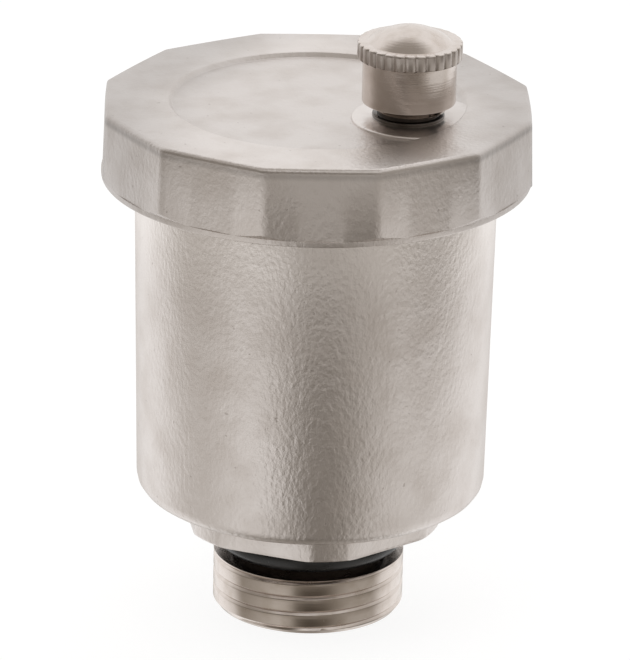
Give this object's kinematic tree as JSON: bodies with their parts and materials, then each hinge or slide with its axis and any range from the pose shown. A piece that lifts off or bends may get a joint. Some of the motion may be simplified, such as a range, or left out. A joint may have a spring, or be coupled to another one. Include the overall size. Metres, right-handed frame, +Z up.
{
  "type": "automatic air vent valve",
  "caption": "Float-operated air release valve: threaded inlet below a round chamber, faceted screw lid, and a knurled dust cap over the vent nozzle.",
  "frame": {"origin": "centre of the inlet thread's lower end face, the lowest point on the thread's axis", "axes": "+Z up along the thread axis from the inlet to the lid; -Y is the front as pictured, +X to the right of it; the nozzle stands to the right and a little to the front"},
  "size_m": [0.0466, 0.0466, 0.0682],
  "materials": {
    "nickel_forging": "nickel-plated forged brass, fine blasted grain",
    "nickel_turned": "nickel-plated turned brass, satin with fine lathe lines",
    "raw_brass": "machined brass, plain",
    "stainless": "bright stainless steel",
    "black_rubber": "black EPDM rubber, slight sheen",
    "float_plastic": "natural polypropylene, moulded"
  },
  "bodies": {
    "housing": {"body": "nickel_forging", "connection_o_ring": "black_rubber", "lid": "nickel_forging", "lid_o_ring": "black_rubber", "vent_nozzle": "nickel_turned", "valve_seat": "stainless", "nozzle_washer": "black_rubber", "nozzle_nut": "raw_brass", "lever_bracket": "stainless", "hinge_pin": "stainless", "pin_ring": "stainless"},
    "lever_arm": {"lever": "stainless", "pad_cup": "raw_brass", "valve_pad": "black_rubber"},
    "float": {"float_shell": "float_plastic", "float_base": "float_plastic", "float_stem": "raw_brass", "stem_nut": "raw_brass", "stem_pin": "stainless"},
    "cap_lift": {"cap_seal": "black_rubber"},
    "cap": {"dust_cap": "nickel_turned"}
  },
  "joints": [
    {"name": "float_travel", "type": "slide", "parent": "housing", "child": "float", "axis": [0, 0, 1], "range_m": [0, 0.00387]},
    {"name": "lever_swing", "type": "hinge", "parent": "housing", "child": "lever_arm", "pos_m": [0.01323, -0.00545, 0.04987], "axis": [0.3811, 0.9245, 0], "range_deg": [0, 15]},
    {"name": "cap_rise", "type": "slide", "parent": "housing", "child": "cap_lift", "axis": [0, 0, 1], "range_m": [0, 0.004]},
    {"name": "cap_unscrew", "type": "hinge", "parent": "cap_lift", "child": "cap", "pos_m": [0.00972, -0.004, 0.0624], "axis": [0, 0, 1], "range_deg": [0, 1440]}
  ],
  "couplings": [
    {"joint": "lever_swing", "follows": "float_travel", "rad_per_m": 67.7},
    {"joint": "cap_unscrew", "follows": "cap_rise", "rad_per_m": 6283}
  ]
}
